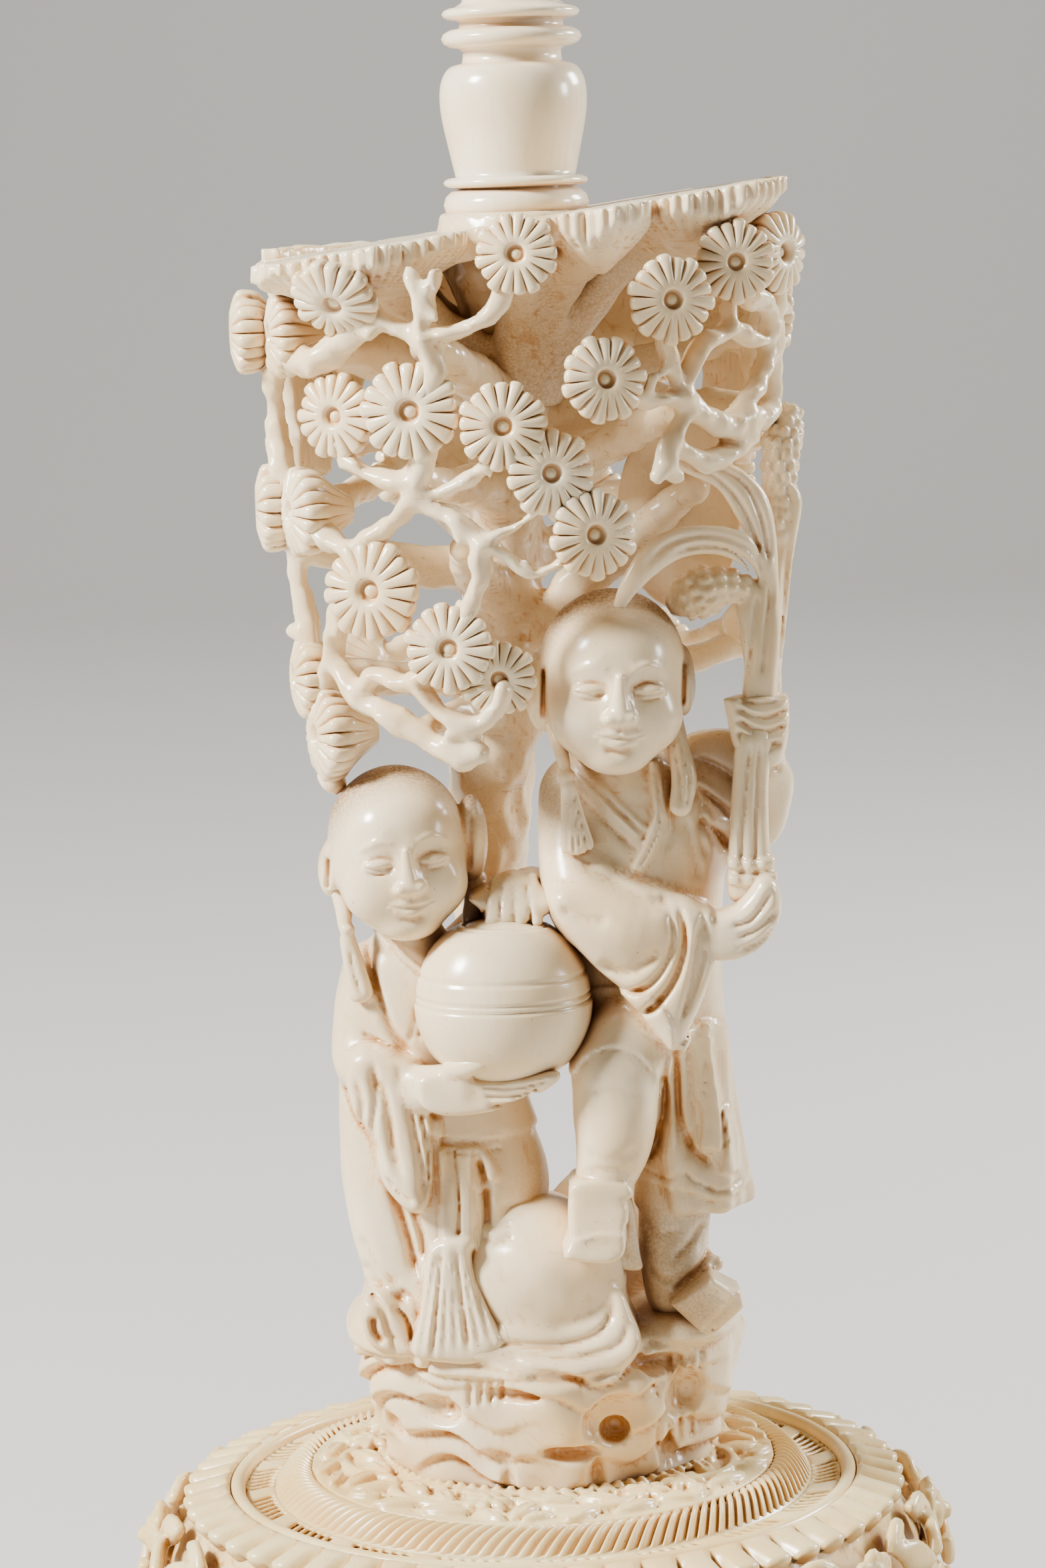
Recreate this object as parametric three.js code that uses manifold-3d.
// Carved ivory stand for a puzzle ball: a domed foot, a column carved as a pine tree with two boys,
// and a turned stem with a cup for the ball. Millimetres, +Z up, the front faces -Y.
// The origin is the middle of the foot's underside.
import * as THREE from "three";
import { mergeVertices } from "three/addons/utils/BufferGeometryUtils.js";
import Module from "manifold-3d";

const wasm = await Module();
wasm.setup();

// Foot, from the floor up
const PLINTH_RADIUS = 49.5;
const PLINTH_HEIGHT = 5;
const PLINTH_EASE = 1;
const WAIST_RADIUS = 43;
const WAIST_HEIGHT = 4;
const DRUM_RADIUS = 45.5;
const DRUM_HEIGHT = 22;
const DRUM_TOP_RADIUS = 38.5;
const RIM_RADIUS = 42;
const RIM_THICKNESS = 3;
const RIM_LOBES = 56;
const LOBE_DEPTH = 1.2;
const BEAD_RING_RADIUS = 35.7;
const BEAD_RING_THICKNESS = 2.2;
const BAND_OUTER_RADIUS = 31.2;
const BAND_INNER_RADIUS = 26.8;
const BAND_RISE = 3.6;
const FIELD_RISE = 2.8;
const HOLLOW_RADIUS = 37;
const HOLLOW_DEPTH = 19;
const FOOT_SEGMENTS = 24;
const DRUM_FLOWERS = 8;
const DRUM_FLOWER_RADIUS = 7.6;
const DRUM_FLOWER_PETALS = 6;
const DRUM_RELIEF = 2.6;

// Column
const COLUMN_HEIGHT = 142.2;
const COLUMN_HALF_WIDTH = 27;
const COLUMN_TAPER = 0.09;
const COLUMN_DEPTH_SHARE = 0.9;
const CROWN_RADIUS = 29.5;
const CROWN_SLOPE = 0.135;
const CROWN_THICKNESS = 7;
const CROWN_EDGE = 3.4;
const CROWN_UNDERCUT = 0.93;
const CROWN_LOBES = 7;
const CROWN_LOBE_FACETS = 6;
const CROWN_LOBE_DEPTH = 0.16;
const CROWN_NEEDLE_DEPTH = 0.04;
const ROSETTE_PETALS = 8;
const ROSETTE_THICKNESS = 2.2;
const ROSETTE_DISH = 0.3;
const PETAL_GROOVE = 0.88;
const BACK_ROWS = 3;
const BACK_COLUMNS = 4;
const BACK_FIRST = 104;
const BACK_STEP = 42;
const BACK_SHIFT = 20;
const BACK_SPACING = 18;
const BACK_ROSETTE_RADIUS = 5;
const WALL_FIRST = 98;
const WALL_SPAN = 164;
const WALL_FACETS = 14;
const WALL_INSET = 2.4;
const WALL_THICKNESS = 2.4;
const WALL_WAVE = 2;
const TWIG_SIDES = 3;
const TRUNK_SKIN = 0.6;
const TWIG_HOLD = 0.5;

// Stem, from its seat up
const STEM_OFFSET = 1.4;
const STEM_BASE_RADIUS = 8.2;
const STEM_BASE_HEIGHT = 3.6;
const STEM_NECK_RADIUS = 6.3;
const ASTRAGAL_RADIUS = 8.1;
const ASTRAGAL_THICKNESS = 1.2;
const URN_FOOT_RADIUS = 6.7;
const URN_RADIUS = 8.2;
const URN_HEIGHT = 12.6;
const STEM_WAIST_RADIUS = 5.5;
const STEM_WAIST_HEIGHT = 1.6;
const LOWER_RING_RADIUS = 7.9;
const LOWER_RING_THICKNESS = 2.2;
const RING_GAP = 1;
const UPPER_RING_RADIUS = 7.7;
const UPPER_RING_THICKNESS = 1.3;
const TOP_NECK_RADIUS = 4.6;
const TOP_NECK_HEIGHT = 7;
const KNOP_RADIUS = 6;
const KNOP_HEIGHT = 3;
const CUP_RADIUS = 13.5;
const CUP_HEIGHT = 11.5;
const CUP_WALL = 1.3;
const CUP_FLOOR_RADIUS = 5;
const CUP_FLOOR_THICKNESS = 4.5;
const STEM_SEGMENTS = 16;

// Fits
const SEAT_CLEARANCE = 0.3;
const SEAT_SHOULDER = 1;
const MERGE_DISTANCE = 1e-4;

const FOOT_HEIGHT = PLINTH_HEIGHT + WAIST_HEIGHT + DRUM_HEIGHT + RIM_THICKNESS + FIELD_RISE;
const SEAT_HEIGHT = FOOT_HEIGHT + COLUMN_HEIGHT;

// The carving is free form: its places are read off one drawing, and all of them are shares of the
// column's height. These are the drawing's heights of the column's underside, of the stem's seat,
// of the shell's nominal width, of the back's top row of rosettes and of the back wall's two edges.
const DRAWING = { base: 36.8, seat: 179, shell: 120, backTop: 166, wallBottom: 151, wallTop: 176 };
const CARVING = COLUMN_HEIGHT / (DRAWING.seat - DRAWING.base);

const UP = new THREE.Vector3(0, 0, 1);
const INWARD = new THREE.Vector3(0, 1, 0);

function spot([x, y, z]) {
  return new THREE.Vector3(x * CARVING, y * CARVING, FOOT_HEIGHT + (z - DRAWING.base) * CARVING);
}

function reshape(geometry, move) {
  const places = geometry.attributes.position;
  const point = new THREE.Vector3();
  for (let i = 0; i < places.count; i += 1) {
    move(point.fromBufferAttribute(places, i));
    places.setXYZ(i, point.x, point.y, point.z);
  }
  return geometry;
}

// A closed geometry as a solid: shared vertices merged and faces without area dropped.
function solid(geometry) {
  geometry.deleteAttribute("normal");
  geometry.deleteAttribute("uv");
  const merged = mergeVertices(geometry, MERGE_DISTANCE);
  const corners = [];
  for (let i = 0; i < merged.index.count; i += 3) {
    const [a, b, c] = [0, 1, 2].map((k) => merged.index.getX(i + k));
    if (a !== b && b !== c && c !== a) {
      corners.push(a, b, c);
    }
  }
  return new wasm.Manifold(
    new wasm.Mesh({
      numProp: 3,
      vertProperties: merged.attributes.position.array,
      triVerts: new Uint32Array(corners),
    }),
  );
}

function join(solids) {
  return solids.reduce((whole, piece) => whole.add(piece));
}

function between(values, share) {
  const place = share * (values.length - 1);
  const first = Math.min(Math.floor(place), values.length - 2);
  return THREE.MathUtils.lerp(values[first], values[first + 1], place - first);
}

// A turned solid: the profile lists [radius, height] from the lowest point outwards and up.
function turned(profile, segments) {
  const points = profile.map(([radius, height]) => new THREE.Vector2(radius, height));
  return new THREE.LatheGeometry(points, segments).rotateX(Math.PI / 2);
}

// A limb along a smooth curve. Each station is [x, y, z, half width, half depth].
function limb(stations, sides = 6, steps = stations.length - 1) {
  const curve = new THREE.CatmullRomCurve3(stations.map(spot));
  const widths = stations.map((s) => s[3] * CARVING);
  const depths = stations.map((s) => (s[4] ?? s[3]) * CARVING);
  const run = curve.getPoint(1).sub(curve.getPoint(0)).normalize();
  const reference = Math.abs(run.y) > 0.8 ? UP : INWARD;
  const tube = new THREE.CylinderGeometry(1, 1, 1, sides, steps);
  return solid(
    reshape(tube, (point) => {
      const share = point.y + 0.5;
      const along = curve.getTangent(share);
      const across = new THREE.Vector3().crossVectors(along, reference).normalize();
      const out = new THREE.Vector3().crossVectors(across, along);
      const [width, depth] = [point.x * between(widths, share), point.z * between(depths, share)];
      point.copy(curve.getPoint(share)).addScaledVector(across, width).addScaledVector(out, depth);
    }),
  );
}

// Stacked oval sections, lowest first, each [height, centre x, centre y, half width, half depth].
// The fold function gives the share by which the surface stands out at an angle from the front.
function draped(sections, sides = 14, fold = () => 0) {
  const body = new THREE.CylinderGeometry(1, 1, 1, sides, sections.length - 1);
  return solid(
    reshape(body, (point) => {
      const level = Math.round((point.y + 0.5) * (sections.length - 1));
      const [height, x, y, width, depth] = sections[level];
      const swell = 1 + fold(Math.atan2(point.x, point.z), height);
      point.copy(spot([x + point.x * width * swell, y - point.z * depth * swell, height]));
    }),
  );
}

function ball([x, y, z], [width, depth, height], sides = 12, rings = 8, lean = 0) {
  const turn = new THREE.Matrix4().makeRotationY(lean);
  const sphere = new THREE.SphereGeometry(1, sides, rings).rotateX(Math.PI / 2);
  return solid(
    reshape(sphere, (point) => {
      point.multiply(new THREE.Vector3(width, depth, height)).applyMatrix4(turn);
      point.copy(spot([x + point.x, y + point.y, z + point.z]));
    }),
  );
}

// A fan of petals on its back at the origin, its axis along Z. Its middle is sunk by a share of its thickness.
function flower(radius, thickness, petals, sunk) {
  const profile = [
    [0, 0],
    [radius, thickness],
    [0, thickness * (1 - sunk)],
  ];
  return reshape(turned(profile, petals * 2), (point) => {
    const reach = Math.hypot(point.x, point.y);
    const place = Math.round((Math.atan2(point.x, -point.y) * petals) / Math.PI);
    if (reach > radius * 0.9 && place % 2 !== 0) {
      point.x *= PETAL_GROOVE;
      point.y *= PETAL_GROOVE;
    }
  });
}

function placed(geometry, centre, facing) {
  const turn = new THREE.Quaternion().setFromUnitVectors(UP, facing.clone().normalize());
  return geometry.applyQuaternion(turn).translate(centre.x, centre.y, centre.z);
}

// Foot

function footProfile() {
  const waistHeight = PLINTH_HEIGHT + WAIST_HEIGHT;
  const rimHeight = waistHeight + DRUM_HEIGHT;
  const rimTop = rimHeight + RIM_THICKNESS;
  const bead = BEAD_RING_THICKNESS / 2;
  const band = BAND_OUTER_RADIUS - BAND_INNER_RADIUS;
  return [
    [0, HOLLOW_DEPTH],
    [HOLLOW_RADIUS * 0.85, HOLLOW_DEPTH],
    [HOLLOW_RADIUS, HOLLOW_DEPTH * 0.75],
    [HOLLOW_RADIUS, 0],
    [PLINTH_RADIUS - PLINTH_EASE, 0],
    [PLINTH_RADIUS, PLINTH_EASE],
    [PLINTH_RADIUS, PLINTH_HEIGHT - PLINTH_EASE * 2],
    [PLINTH_RADIUS - PLINTH_EASE * 2, PLINTH_HEIGHT],
    [WAIST_RADIUS, PLINTH_HEIGHT + WAIST_HEIGHT / 2],
    [WAIST_RADIUS, waistHeight],
    [DRUM_RADIUS, waistHeight + DRUM_HEIGHT * 0.35],
    [DRUM_RADIUS - 1, waistHeight + DRUM_HEIGHT * 0.65],
    [DRUM_TOP_RADIUS, rimHeight],
    [BEAD_RING_RADIUS + bead, rimTop],
    [BEAD_RING_RADIUS, rimTop + bead],
    [BEAD_RING_RADIUS - bead, rimTop],
    [BAND_OUTER_RADIUS, rimTop],
    [BAND_OUTER_RADIUS - band * 0.35, rimTop + BAND_RISE * 0.75],
    [BAND_INNER_RADIUS + band * 0.2, rimTop + BAND_RISE],
    [BAND_INNER_RADIUS, FOOT_HEIGHT],
    [0, FOOT_HEIGHT],
  ];
}

// The rim stands out in lobes, two facets to each.
function scallopedRim() {
  const top = FOOT_HEIGHT - FIELD_RISE;
  const bottom = top - RIM_THICKNESS;
  const inner = [BEAD_RING_RADIUS, top + BEAD_RING_THICKNESS * 0.2];
  const profile = [
    inner,
    [RIM_RADIUS - LOBE_DEPTH, bottom],
    [RIM_RADIUS, top - RIM_THICKNESS / 3],
    inner,
  ];
  const rim = reshape(turned(profile, RIM_LOBES * 2), (point) => {
    const reach = Math.hypot(point.x, point.y);
    const place = Math.round((Math.atan2(point.x, -point.y) * RIM_LOBES) / Math.PI);
    if (reach > RIM_RADIUS - LOBE_DEPTH - 0.1 && place % 2 !== 0) {
      const pull = (reach - LOBE_DEPTH) / reach;
      point.x *= pull;
      point.y *= pull;
    }
  });
  return solid(rim);
}

// Flowers and paired leaves round the drum.
function drumFoliage() {
  const middle = PLINTH_HEIGHT + WAIST_HEIGHT + DRUM_HEIGHT / 2;
  const pieces = [];
  for (let i = 0; i < DRUM_FLOWERS; i += 1) {
    const angle = (i * 2 * Math.PI) / DRUM_FLOWERS;
    const facing = new THREE.Vector3(Math.cos(angle), Math.sin(angle), 0);
    const centre = facing.clone().multiplyScalar(DRUM_RADIUS - 1.5).setZ(middle);
    const petals = flower(DRUM_FLOWER_RADIUS, DRUM_RELIEF * 1.6, DRUM_FLOWER_PETALS, ROSETTE_DISH);
    pieces.push(solid(placed(petals, centre, facing)));
    for (const side of [-1, 1]) {
      const turn = angle + Math.PI / DRUM_FLOWERS;
      const leaf = new THREE.SphereGeometry(1, 4, 3);
      leaf.scale(DRUM_RELIEF, DRUM_HEIGHT * 0.22, DRUM_HEIGHT * 0.3);
      leaf.rotateX(side * 0.7);
      leaf.translate(DRUM_RADIUS - 1, side * DRUM_HEIGHT * 0.16, middle + side * DRUM_HEIGHT * 0.16);
      pieces.push(solid(leaf.rotateZ(turn)));
    }
  }
  return join(pieces);
}

function foot() {
  return join([solid(turned(footProfile(), FOOT_SEGMENTS)), scallopedRim(), drumFoliage()]);
}

// Column: the outline of the tusk that it was carved from

function shellHalfWidth(height) {
  return COLUMN_HALF_WIDTH / CARVING + (height - DRAWING.shell) * COLUMN_TAPER;
}

function onShell(degrees, height, inset = 0) {
  const angle = THREE.MathUtils.degToRad(degrees);
  const reach = shellHalfWidth(height) - inset;
  const x = STEM_OFFSET / CARVING + reach * Math.sin(angle);
  return [x, -reach * Math.cos(angle) * COLUMN_DEPTH_SHARE, height];
}

function shellBranch(places, size) {
  const stations = places.map(([degrees, height]) => [...onShell(degrees, height, 3), size]);
  return limb(stations, TWIG_SIDES);
}

// A pine rosette on the shell at [degrees from the front, height], with the turn and tip of its face.
function rosette([degrees, height], radius, turn = degrees, tip = 0) {
  const angle = THREE.MathUtils.degToRad(turn);
  const facing = new THREE.Vector3(Math.sin(angle), -Math.cos(angle), tip);
  const petals = flower(radius * CARVING, ROSETTE_THICKNESS, ROSETTE_PETALS, ROSETTE_DISH);
  return solid(placed(petals, spot(onShell(degrees, height, ROSETTE_THICKNESS / CARVING)), facing));
}

function rock() {
  const sections = [
    [36.8, 0.9, 0, 17.3, 14.6],
    [39, 0.9, 0, 18.2, 15.6],
    [43, 1, 0, 20.2, 17.4],
    [46, 1.1, 0, 21.8, 18.8],
    [47.2, 1.1, 0, 20.4, 17.6],
    [50.5, 1.2, 0, 22.4, 19.2],
    [53, 1.1, 0, 21, 18],
    [54.6, 1, 1, 18, 15],
  ];
  const lumps = (angle, height) => 0.025 * Math.sin(5 * angle + height) + 0.02 * Math.sin(9 * angle);
  return join([
    draped(sections, 16, lumps),
    ball([-14, -3, 54], [7, 10, 3], 8, 5),
    ball([17, -2, 54], [6.5, 10, 3], 8, 5),
    ball([9, 8, 57], [10, 8, 12], 8, 5, 0.3),
    ball([-12, 9, 57], [7, 7, 9], 7, 5),
    ball([1, -10.5, 62.3], [9.6, 8.4, 9.4], 12, 8),
    ball([3.5, -13, 53.6], [10, 6.5, 2.6], 10, 5),
  ]);
}

function leftBoy() {
  const robe = [
    [53, -11.5, -6.5, 9.4, 9],
    [61, -10.4, -7, 9.8, 8.2],
    [70, -9.2, -7, 11.8, 8],
    [76, -10, -7, 10.4, 7.2],
    [88, -12, -7, 9.6, 7.2],
    [95, -12.8, -7, 8.6, 6.4],
    [99, -13.2, -8, 4.4, 4.4],
    [104, -13.6, -10, 3.6, 3.8],
  ];
  const folds = (angle, height) => (height < 75 ? 0.07 * Math.sin(7 * angle) : 0);
  return join([
    draped(robe, 14, folds),
    ball([-14, -10.8, 109.6], [7.8, 8.2, 9.6], 9, 7),
    ball([-21.8, -9.5, 109.5], [1.4, 2.4, 3.4], 4, 4),
    ball([-6.4, -9.5, 111], [1.6, 2.6, 3.8], 4, 4),
    ball([-2.8, -14.4, 92.9], [9.8, 8.8, 9.5], 11, 7),
    limb([[-18, -7, 95.5, 3.6], [-20.2, -8.6, 88, 3], [-19.4, -11.5, 81, 3.4], [-15, -15, 82, 3]]),
    limb([[-18.6, -12, 82, 3, 3.6], [-16.6, -14, 75.5, 3.6, 3], [-14.6, -14.4, 69.5, 3, 1.8]]),
    limb([
      [-15, -16, 82.6, 2.6],
      [-9, -18.5, 83.6, 2.6, 1.8],
      [-3, -20, 85, 1.9, 1.5],
      [1.4, -20, 84.4, 0.9],
    ]),
    limb([[-8, -6, 96, 4], [-3, -6, 101, 3], [-1, -8.5, 104, 2.8], [-1, -13, 102.2, 2.4]], 7),
    limb([
      [-10.6, -14, 77, 1.2],
      [-9.2, -15, 68, 2.4, 1.4],
      [-9.6, -16.4, 60, 4.4, 2],
      [-9.8, -16.6, 53, 5.4, 2.4],
    ]),
    limb([[-20.4, -9, 106, 1.1], [-18.4, -12, 99, 1], [-17.6, -13.4, 93.5, 1.1]], 5),
    limb([[-6.4, -11, 110, 1.8], [-5.6, -11.5, 105, 1.7], [-5, -12, 101.5, 1.2]], 5),
  ]);
}

function rightBoy() {
  const robe = [
    [67.6, 18, -5.5, 6.9, 6],
    [76, 17, -5.5, 6.4, 6.4],
    [86, 15, -6, 7.6, 7],
    [94, 13, -6.6, 9.2, 7.6],
    [104, 12.6, -7.6, 10.4, 7.8],
    [112, 12.8, -8.2, 10.8, 7.2],
    [116.6, 12, -8.8, 8.4, 5.8],
    [119, 11, -10, 4.2, 4.2],
    [123, 10.6, -12, 3.8, 4],
  ];
  const folds = (angle, height) => (height < 90 ? 0.06 * Math.sin(7 * angle) : 0);
  return join([
    draped(robe, 14, folds),
    ball([10.4, -13.6, 128.2], [7.7, 8.4, 10], 9, 7),
    ball([2.6, -12.5, 127], [1.4, 2.4, 3.6], 4, 4),
    ball([18.2, -12.5, 127.4], [1.6, 2.6, 3.6], 4, 4),
    limb([
      [5, -8, 114.5, 4.2],
      [3.6, -11, 107, 4.6],
      [5.6, -15, 101, 4.6],
      [12, -17.6, 99.6, 4.2],
      [18.4, -17.8, 100.2, 4.4, 3.8],
    ]),
    limb([[10, -16.5, 99, 5.5, 3.4], [14, -17.4, 93.5, 4.6, 2.6], [17.2, -17.8, 87.6, 1, 1]]),
    limb([[17, -17.6, 101, 2.6], [22, -17.4, 101.8, 2.5], [26, -16, 104.5, 2.4], [26, -14, 108, 1.8]]),
    limb([[18, -5, 116, 5], [24.4, -5, 112.6, 5.4, 5], [27, -8, 117, 3.8], [27.4, -12, 122, 2.6, 3]]),
    ball([27.4, -13.2, 123], [2.8, 2.8, 5.2], 8, 6),
    limb([[14, -6, 92, 5.8, 6], [10.4, -12.5, 89.4, 5.2, 5.4], [9.4, -16, 84.6, 4.8, 4.8]]),
    limb([[9.6, -15.4, 86, 4.6], [8.8, -16, 80, 4.4], [8, -16, 74.6, 3.5], [7.8, -16, 71, 3.9]]),
    limb([[7.6, -10.5, 69.4, 3.2, 3.6], [7.1, -16, 68.8, 3.4, 4], [6.7, -21.4, 67, 3.3, 2.8]], 8, 3),
    limb([[16.2, -6, 70, 4.2], [16.8, -7, 63, 3.4], [17.6, -7.6, 56, 3]]),
    limb([[16.6, -5, 57, 3, 2.6], [18.4, -9.5, 56.6, 3.3, 2.8], [20.6, -14.4, 55, 3.1, 2.2]], 8, 3),
    limb([[2.6, -13, 124, 1], [3, -15.4, 117, 1.2], [3.6, -16.6, 109.5, 1.6]], 5),
    limb([[18, -13, 125, 1.4], [18.6, -14.4, 118, 1.4], [17.4, -15.6, 112, 1.6]], 5),
  ]);
}

// Lotus stems in the boy's hands, with the arched leaf that ends on his head, a seed pod and a tall leaf.
function lotus() {
  return join([
    limb([
      [24.4, -16, 101, 2],
      [25, -15, 111, 2.2, 1.8],
      [26.2, -13.4, 120, 2.2],
      [27, -12.6, 131, 2],
      [27.8, -11, 140, 1.8],
    ]),
    limb([
      [27.2, -13, 131, 1.8],
      [27.4, -13.6, 138, 2.2, 1.4],
      [21.4, -16.5, 144.4, 2.4, 1.4],
      [15.4, -18, 142.6, 2, 1.2],
      [11.6, -17.5, 137, 1],
    ]),
    limb([[18.2, -13, 134.6, 1.4], [20.4, -13.6, 137.4, 2], [24.4, -13.4, 138, 2], [28, -12, 135, 1.6]]),
    limb([
      [27.6, -13, 134, 2],
      [27.6, -14.4, 144, 2.8, 1.6],
      [24, -17, 150, 2.6, 1.4],
      [17, -18.5, 153.4, 1.4, 1],
    ]),
    limb([[27.6, -8, 122, 2], [29, -6, 132, 2.2], [30.6, -5, 144, 2.2], [31, -5, 156, 2.4, 3]]),
    ball([30, -4, 153.4], [2.6, 4.6, 6], 8, 6),
    ball([16.5, -5, 147], [8, 2.4, 12], 10, 6, -0.25),
  ]);
}

// The pine's trunk, root to crown: [x, y, height, half width, half depth].
const TRUNK = [
  [-7, 7, 53, 8, 9],
  [-6, 6.4, 70, 6, 8],
  [-4.4, 5.6, 90, 4.4, 7],
  [-3.6, 5, 104, 4, 6.6],
  [-3.4, 4, 115, 4.7, 6],
  [-2.4, 3, 130, 4.5, 5.6],
  [-0.6, 2, 148, 4.8, 5.4],
  [0.8, 1, 165, 5.8, 6],
  [1.4, 0, 177, 8.4, 8],
];

// A place on the trunk's skin at a height, on the side that faces a direction from the front.
function onTrunk(degrees, height) {
  const above = TRUNK.findIndex((station) => station[2] > height);
  const [low, high] = [TRUNK[above - 1], TRUNK[above]];
  const share = (height - low[2]) / (high[2] - low[2]);
  const angle = THREE.MathUtils.degToRad(degrees);
  const reach = TRUNK_SKIN * low[3];
  const x = THREE.MathUtils.lerp(low[0], high[0], share) + reach * Math.sin(angle);
  const y = THREE.MathUtils.lerp(low[1], high[1], share) - reach * Math.cos(angle);
  return [x, y, height];
}

function trunk() {
  return join([
    limb(TRUNK, 8),
    limb([
      [-2.6, 0, 118, 3],
      [1.6, -0.4, 128, 3],
      [6, -1.4, 136.4, 2.8],
      [12, -4, 143, 2.6],
      [20, -10, 150, 2.2],
    ]),
    limb([[-6, 6, 56, 4], [-14, 9, 55, 3.4, 3], [-18, 10, 53, 2]]),
    limb([[-5, 7, 58, 4], [3, 12, 56, 3.6, 3], [9, 15, 53, 2]]),
  ]);
}

// A front rosette and the short twig that joins it to the web, held beside the rosette's middle.
function linkedRosette([place, radius, link, turn, tip]) {
  const root = onShell(...link, 3.2);
  const middle = onShell(...place);
  const run = Math.hypot(...middle.map((value, k) => value - root[k]));
  const share = (radius * TWIG_HOLD) / run;
  const held = place.map((value, k) => THREE.MathUtils.lerp(value, link[k], share));
  const end = onShell(...held, (ROSETTE_THICKNESS * 0.35) / CARVING);
  const twig = limb([[...root, 1.6], [...end, 1.4]], TWIG_SIDES);
  return rosette(place, radius, turn, tip).add(twig);
}

// Front rosettes: place, radius, the place on the web that each grows from, turn and tip of the face.
function frontRosettes() {
  const list = [
    [[-0.5, 175.6], 4.4, [3, 173]],
    [[49.7, 173.9], 4.4, [50, 169], 12],
    [[69, 174.6], 4.5, [60, 170], 60],
    [[32.2, 170.2], 4.6, [30, 166], 20],
    [[-39.2, 172.7], 4.3, [-24, 171], -30, -1.1],
    [[-44.6, 158.6], 4.6, [-37, 155.5]],
    [[-24.4, 159.2], 5.4, [-23.8, 156.5], -14],
    [[-4.4, 157.4], 4.7, [-6, 154.4]],
    [[17, 162], 4.6, [22, 159]],
    [[5.4, 152.2], 4.7, [4, 150]],
    [[14.8, 145.4], 4.8, [10, 143.5]],
    [[-38.2, 139.6], 5.5, [-33, 143], -32],
    [[-19, 133.4], 4.8, [-23, 130.6]],
    [[-8.2, 129.8], 4, [-7, 133]],
    [[-78, 167.5], 4.7, [-70, 165]],
    [[-80, 147.9], 5, [-70, 145]],
    [[-72, 128.6], 4.7, [-62, 131]],
    [[-64, 122.6], 4.7, [-48, 127.4]],
  ];
  return join(list.map(linkedRosette));
}

// Rows of rosettes round the back, each row on a twig that zigzags along the shell from bough to bough.
function backRosettes() {
  const radius = BACK_ROSETTE_RADIUS / CARVING;
  const thickness = ROSETTE_THICKNESS / CARVING;
  const pieces = [];
  for (let row = 0; row < BACK_ROWS; row += 1) {
    const height = DRAWING.backTop - (row * BACK_SPACING) / CARVING;
    const first = BACK_FIRST + (row % 2) * BACK_SHIFT;
    const twig = [];
    for (let k = 0; k < BACK_COLUMNS; k += 1) {
      const degrees = first + k * BACK_STEP;
      const middle = height + (k % 2 === 0 ? 2 : -2);
      pieces.push(rosette([degrees, middle], radius));
      twig.push([...onShell(degrees, middle - radius * TWIG_HOLD, thickness / 2), 1.6]);
    }
    pieces.push(limb(twig, TWIG_SIDES));
    for (const degrees of [first, first + 2 * BACK_STEP]) {
      const end = [...onShell(degrees, height, thickness), 1.7];
      pieces.push(limb([[...onTrunk(degrees, height - 8), 2.4], end], TWIG_SIDES));
    }
  }
  return join(pieces);
}

// What is left of the tusk's own wall behind the crown, with windows cut through it.
function backWall() {
  const wall = new THREE.BoxGeometry(1, 1, 1, WALL_FACETS, 1, 1);
  reshape(wall, (point) => {
    const degrees = WALL_FIRST + (0.5 + point.x) * WALL_SPAN;
    const wave = WALL_WAVE * Math.sin(THREE.MathUtils.degToRad(5 * degrees));
    const height = point.z > 0 ? DRAWING.wallTop : DRAWING.wallBottom + wave;
    const inset = WALL_INSET + (0.5 + point.y) * WALL_THICKNESS;
    point.copy(spot(onShell(degrees, height, inset / CARVING)));
  });
  return solid(wall).subtract(
    join([
      limb([[10, 8, 160, 3.6], [30, 26, 160.6, 3.6]]),
      limb([[5.4, 12, 163, 1.8], [7.4, 34, 162.4, 1.8]]),
      limb([[-8, 8, 158.4, 3], [-24, 30, 157.6, 3]]),
    ]),
  );
}

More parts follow.
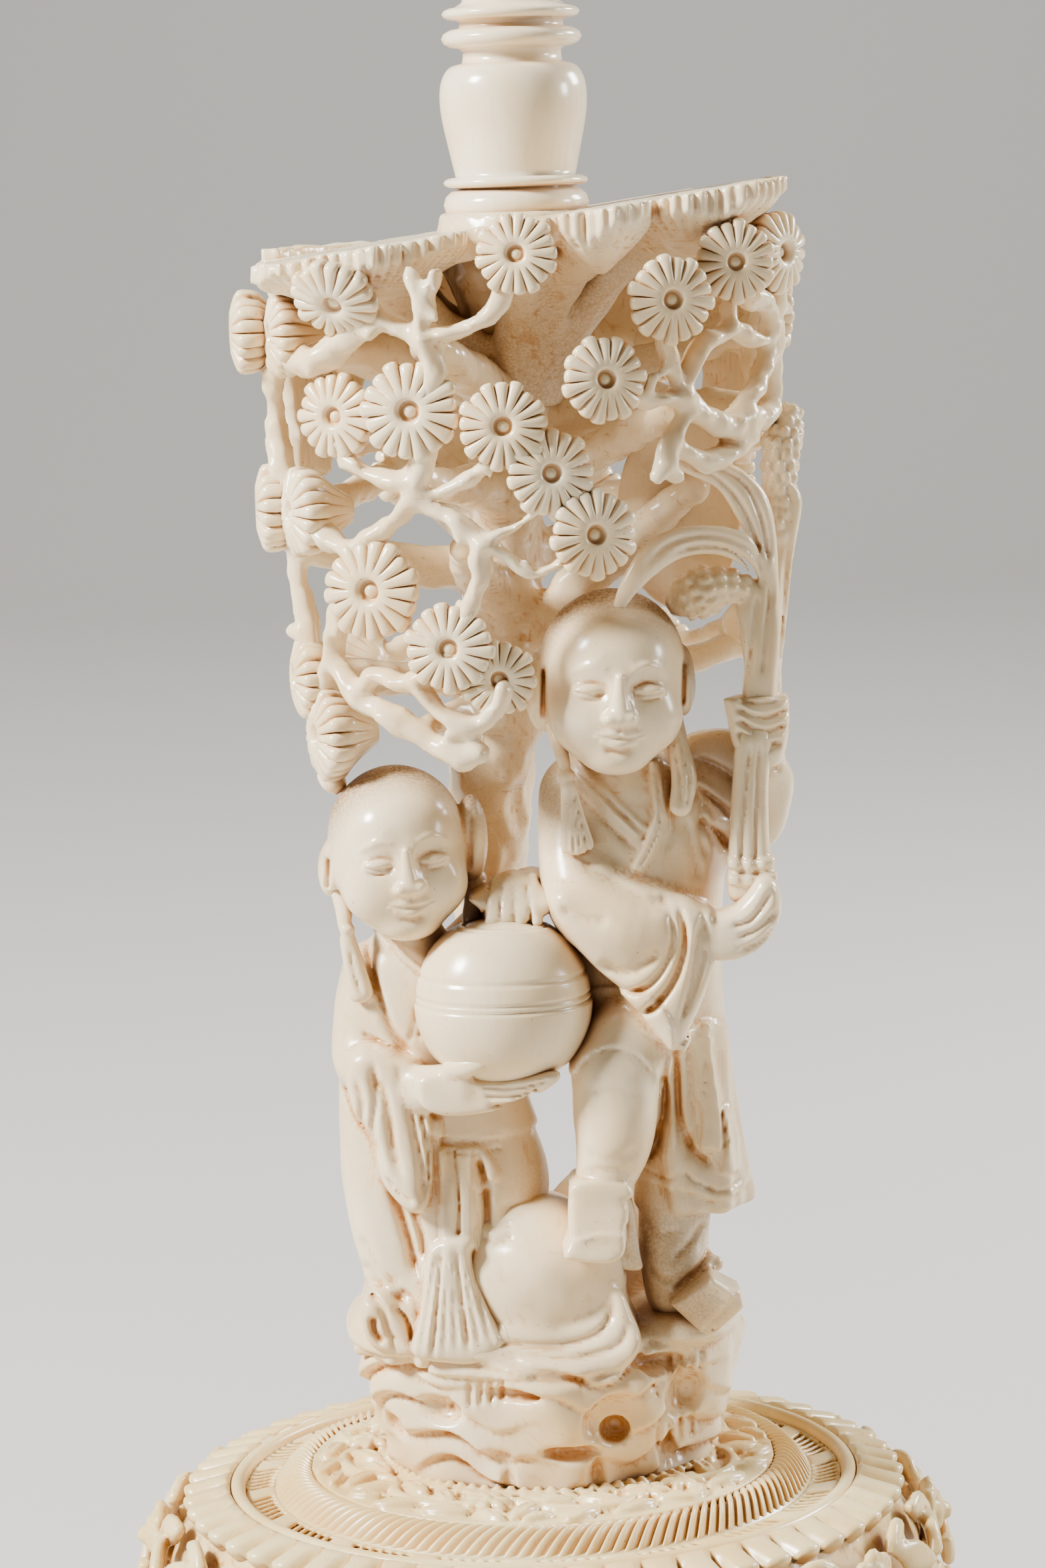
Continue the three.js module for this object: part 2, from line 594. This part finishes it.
// The web of twigs on the front of the shell, each twig a list of [degrees from the front, height].
function web() {
  return join([
    shellBranch([[-24, 149.6], [-30, 153.2], [-37, 155.5]], 1.6),
    shellBranch([[-24, 149.6], [-23.6, 153.4], [-23.8, 156.5]], 1.5),
    shellBranch([[-23, 150.5], [-14, 153.2], [-6, 154.4]], 1.4),
    shellBranch([[-23, 149], [-14, 146.4], [-7, 145.8], [0, 147.4], [4, 150]], 1.5),
    shellBranch([[-8, 145.8], [-4.4, 142.8], [1, 142], [10, 143.5]], 1.3),
    shellBranch([[-13, 146.4], [-9, 142.4], [-8, 138], [-7, 133]], 1.7),
    shellBranch([[-24, 149.6], [-28, 146], [-33, 143]], 1.6),
    shellBranch([[-62, 131], [-48, 127.4], [-35, 125], [-24, 122.6]], 1.7),
    shellBranch([[-42, 126.6], [-32, 128.4], [-23, 130.6]], 1.4),
    shellBranch([[-24, 123.6], [-15, 124], [-7, 125.4]], 1.6),
    shellBranch([[-16, 160], [-17, 164.4], [-19, 168], [-24, 171]], 2),
    shellBranch([[-17, 165], [-16, 169], [-16, 174]], 1.5),
    shellBranch([[-16, 165], [-8, 167.5], [-1, 169.4], [3, 173]], 1.5),
    shellBranch([[30, 166], [34, 162], [37, 158.4], [47, 155.2], [58, 154.4]], 1.6),
    shellBranch([[36, 161.6], [43, 165], [50, 169]], 1.5),
    shellBranch([[22, 159], [30, 156.8], [44, 155.2]], 1.5),
    shellBranch([[60, 170], [72, 164], [76, 158], [58, 154.4]], 1.6),
    shellBranch([[-24, 171], [-48, 167], [-70, 165]], 1.7),
    shellBranch([[-33, 143], [-52, 143], [-70, 145]], 1.7),
    limb([[-1, 0, 138, 2.6], [-6, -12, 144, 2.2], [-10, -22, 149, 1.8]], TWIG_SIDES),
    limb([[0, 0, 154, 2.8], [-3, -12, 160, 2.2], [-7, -24, 165, 1.8]], TWIG_SIDES),
    limb([[-2, 0, 122, 2.6], [-6, -11, 121.6, 2.2], [-9, -20, 123, 1.8]], TWIG_SIDES),
    limb([[0, 0, 146, 2.6], [13, -9, 150, 2.2], [25, -15, 154.6, 1.8]], TWIG_SIDES),
  ]);
}

// The crown's top: one lobed fan of needles, cut off flat by a slanting plane and borne by boughs.
function crownTop() {
  const profile = [
    [0, -CROWN_THICKNESS],
    [CROWN_RADIUS * CROWN_UNDERCUT, -CROWN_EDGE],
    [CROWN_RADIUS, 0],
    [0, 0],
  ];
  const fan = reshape(turned(profile, CROWN_LOBES * CROWN_LOBE_FACETS), (point) => {
    const angle = Math.atan2(point.x, -point.y);
    const facet = Math.round((angle * CROWN_LOBES * CROWN_LOBE_FACETS) / (2 * Math.PI));
    const notch = CROWN_LOBE_DEPTH * Math.cos(angle * CROWN_LOBES / 2) ** 8;
    const needle = facet % 2 === 0 ? 0 : CROWN_NEEDLE_DEPTH;
    point.x *= 1 - notch - needle;
    point.y *= (1 - notch - needle) * COLUMN_DEPTH_SHARE;
    point.x += STEM_OFFSET;
    point.z += SEAT_HEIGHT + CROWN_SLOPE * (point.x - STEM_OFFSET);
  });
  const boughs = [];
  for (let i = 0; i < CROWN_LOBES; i += 1) {
    const degrees = ((i + 0.5) * 360) / CROWN_LOBES;
    boughs.push(limb([[...onTrunk(degrees, 160), 2.4], [...onShell(degrees, 175.5, 12), 3]], TWIG_SIDES));
  }
  return join([solid(fan), ...boughs]);
}

// A flat boss for the stem, level in spite of the slanting top.
function stemBoss() {
  const radius = STEM_BASE_RADIUS + SEAT_SHOULDER;
  const profile = [[0, -CROWN_THICKNESS], [radius, -CROWN_THICKNESS], [radius, 0], [0, 0]];
  return solid(turned(profile, STEM_SEGMENTS).translate(STEM_OFFSET, 0, SEAT_HEIGHT));
}

function stemSpace() {
  const radius = STEM_BASE_RADIUS + SEAT_CLEARANCE;
  const profile = [[0, 0], [radius, 0], [radius, STEM_BASE_HEIGHT], [0, STEM_BASE_HEIGHT]];
  return solid(turned(profile, STEM_SEGMENTS).translate(STEM_OFFSET, 0, SEAT_HEIGHT));
}

function column() {
  const tree = join([trunk(), web(), frontRosettes(), backRosettes(), backWall(), crownTop(), stemBoss()]);
  return join([rock(), tree, leftBoy(), rightBoy(), lotus()]).subtract(stemSpace());
}

// Stem

function stemProfile() {
  const urn = STEM_BASE_HEIGHT + ASTRAGAL_THICKNESS;
  const waist = urn + URN_HEIGHT;
  const lower = waist + STEM_WAIST_HEIGHT;
  const gap = lower + LOWER_RING_THICKNESS;
  const upper = gap + RING_GAP;
  const neck = upper + UPPER_RING_THICKNESS;
  const knop = neck + TOP_NECK_HEIGHT;
  const cup = knop + KNOP_HEIGHT;
  const lip = cup + CUP_HEIGHT;
  const floor = cup + CUP_FLOOR_THICKNESS;
  return [
    [0, 0],
    [STEM_BASE_RADIUS * 0.94, 0],
    [STEM_BASE_RADIUS, STEM_BASE_HEIGHT * 0.4],
    [STEM_NECK_RADIUS, STEM_BASE_HEIGHT],
    [ASTRAGAL_RADIUS, STEM_BASE_HEIGHT + ASTRAGAL_THICKNESS * 0.3],
    [ASTRAGAL_RADIUS, STEM_BASE_HEIGHT + ASTRAGAL_THICKNESS * 0.7],
    [URN_FOOT_RADIUS, urn],
    [URN_RADIUS, urn + URN_HEIGHT * 0.6],
    [URN_RADIUS * 0.93, urn + URN_HEIGHT * 0.88],
    [STEM_WAIST_RADIUS, waist],
    [STEM_WAIST_RADIUS, lower - STEM_WAIST_HEIGHT * 0.4],
    [LOWER_RING_RADIUS, lower + LOWER_RING_THICKNESS * 0.2],
    [LOWER_RING_RADIUS, gap - LOWER_RING_THICKNESS * 0.2],
    [STEM_NECK_RADIUS, gap + RING_GAP / 2],
    [UPPER_RING_RADIUS, upper + UPPER_RING_THICKNESS * 0.3],
    [UPPER_RING_RADIUS, neck - UPPER_RING_THICKNESS * 0.3],
    [STEM_WAIST_RADIUS, neck + TOP_NECK_HEIGHT * 0.15],
    [TOP_NECK_RADIUS, neck + TOP_NECK_HEIGHT * 0.6],
    [TOP_NECK_RADIUS, knop],
    [KNOP_RADIUS, knop + KNOP_HEIGHT / 2],
    [TOP_NECK_RADIUS, cup],
    [CUP_RADIUS * 0.72, cup + CUP_HEIGHT * 0.3],
    [CUP_RADIUS * 0.95, cup + CUP_HEIGHT * 0.7],
    [CUP_RADIUS, lip],
    [CUP_RADIUS - CUP_WALL, lip],
    [CUP_RADIUS * 0.95 - CUP_WALL * 1.4, cup + CUP_HEIGHT * 0.7],
    [CUP_FLOOR_RADIUS, floor],
    [0, floor],
  ];
}

function stem() {
  return solid(turned(stemProfile(), STEM_SEGMENTS).translate(STEM_OFFSET, 0, SEAT_HEIGHT));
}

function piece(name, body, colour, roughness) {
  const made = body.getMesh();
  const geometry = new THREE.BufferGeometry();
  geometry.setAttribute("position", new THREE.BufferAttribute(made.vertProperties, 3));
  geometry.setIndex(new THREE.BufferAttribute(made.triVerts, 1));
  geometry.computeVertexNormals();
  const ivory = new THREE.MeshStandardMaterial({ color: colour, roughness, metalness: 0 });
  const mesh = new THREE.Mesh(geometry, ivory);
  mesh.name = name;
  return mesh;
}

const stand = new THREE.Group();
stand.add(piece("carved_foot", foot(), "#e9dcc0", 0.42));
stand.add(piece("carved_column", column(), "#efe3ca", 0.36));
stand.add(piece("turned_stem", stem(), "#f1e6cf", 0.3));

export default stand;
